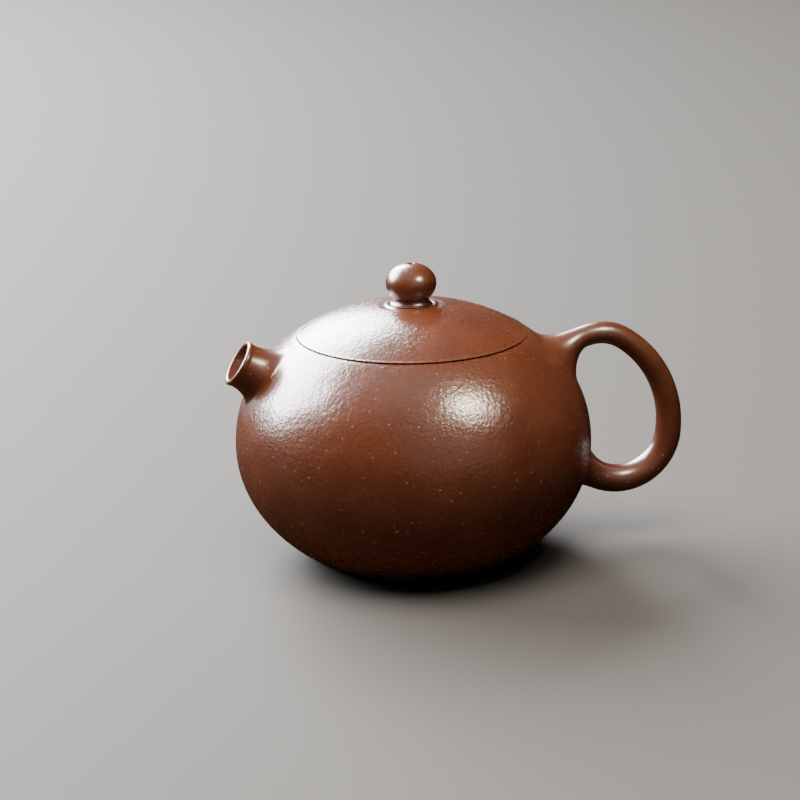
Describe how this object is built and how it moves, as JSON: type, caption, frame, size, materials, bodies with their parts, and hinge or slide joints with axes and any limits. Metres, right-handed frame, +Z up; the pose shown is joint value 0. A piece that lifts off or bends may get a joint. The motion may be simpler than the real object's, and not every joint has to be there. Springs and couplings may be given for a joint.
{
  "type": "clay teapot",
  "caption": "Small round unglazed clay teapot with a short spout, a loop handle and a flush domed lid with a ball knob that lifts off.",
  "frame": {"origin": "centre of the flat foot, on the pot's own axis, at the height of the surface it stands on", "axes": "+Z up along the pot's axis, +X towards the handle, the spout on -X, +Y completes a right-handed frame; symmetric about the XZ plane"},
  "size_m": [0.1245, 0.095, 0.0791],
  "materials": {
    "clay": "unglazed purple-brown clay, fine-grained, with a soft satin shine and sparse pale specks",
    "burnished_clay": "the same clay, burnished smooth, with a clearer shine",
    "inner_clay": "the same clay, left matt from the maker's tools"
  },
  "bodies": {
    "pot": {"base_disc": "clay", "body_wall": "clay", "shoulder_disc": "clay", "mouth_ring": "inner_clay", "spout": "burnished_clay", "strainer": "inner_clay", "handle": "burnished_clay"},
    "lid": {"lid_dome": "clay", "lid_flange": "inner_clay", "knob_collar": "burnished_clay", "knob": "burnished_clay"}
  },
  "joints": [
    {"name": "lid_lift", "type": "slide", "parent": "pot", "child": "lid", "axis": [0, 0, 1], "range_m": [0, 0.06]}
  ]
}
